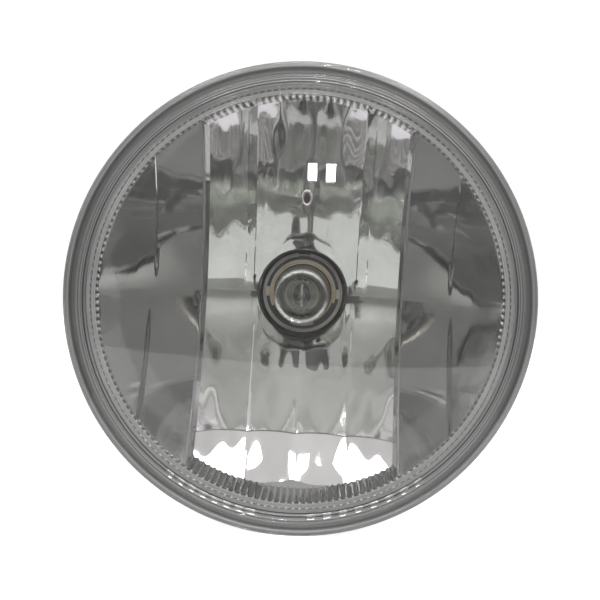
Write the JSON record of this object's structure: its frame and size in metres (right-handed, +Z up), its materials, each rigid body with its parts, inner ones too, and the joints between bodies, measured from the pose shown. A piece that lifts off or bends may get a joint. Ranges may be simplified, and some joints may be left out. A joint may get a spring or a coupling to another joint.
{
  "type": "fog light",
  "caption": "Round clear-lens fog light insert: stepped lens bonded to a sectioned mirror bowl, with a twist-lock halogen bulb in a rear socket.",
  "frame": {"origin": "centre of the rim's rear seating face, on the lamp's optical axis", "axes": "light shines towards -Y, +Z up as fitted, +X to the right as seen from the front"},
  "size_m": [0.1142, 0.0893, 0.1142],
  "materials": {
    "lens_glass": "clear polished glass",
    "sealant": "matt grey sealant",
    "mirror_bowl": "vacuum-metallised moulding, bare grey outside",
    "black_plastic": "fine moulded texture",
    "gasket_rubber": "matt black rubber",
    "screw_steel": "zinc-plated steel",
    "red_rubber": "dark red silicone rubber",
    "vent_foam": "dark red porous plug",
    "bulb_glass": "clear bulb glass",
    "filament_wire": "drawn tungsten coil",
    "lead_wire": "drawn wire",
    "collar_steel": "drawn stainless sleeve",
    "base_plastic": "glass-filled black plastic",
    "cement": "chalky ceramic cement",
    "seal_rubber": "red-brown silicone rubber",
    "terminal_brass": "tinned brass"
  },
  "bodies": {
    "lamp": {"lens": "lens_glass", "lens_sealant": "sealant", "reflector": "mirror_bowl", "socket_ring": "black_plastic", "socket_gasket": "gasket_rubber", "socket_screws": "screw_steel", "vent_cap": "red_rubber", "vent_filter": "vent_foam"},
    "bulb": {"bulb_glass": "bulb_glass", "filament": "filament_wire", "support_lead_lower": "lead_wire", "support_lead_upper": "lead_wire", "seal_foil_lower": "lead_wire", "seal_foil_upper": "lead_wire", "pin_lead_lower": "lead_wire", "pin_lead_upper": "lead_wire", "bulb_collar": "collar_steel", "collar_clamp": "terminal_brass", "bulb_base": "base_plastic", "base_cement": "cement", "bulb_seal_ring": "seal_rubber", "terminal_left": "terminal_brass", "terminal_right": "terminal_brass"}
  },
  "joints": [
    {"name": "bulb_twist", "type": "hinge", "parent": "lamp", "child": "bulb", "pos_m": [0, 0.0543, 0], "axis": [0, 1, 0], "range_deg": [0, 40]}
  ]
}
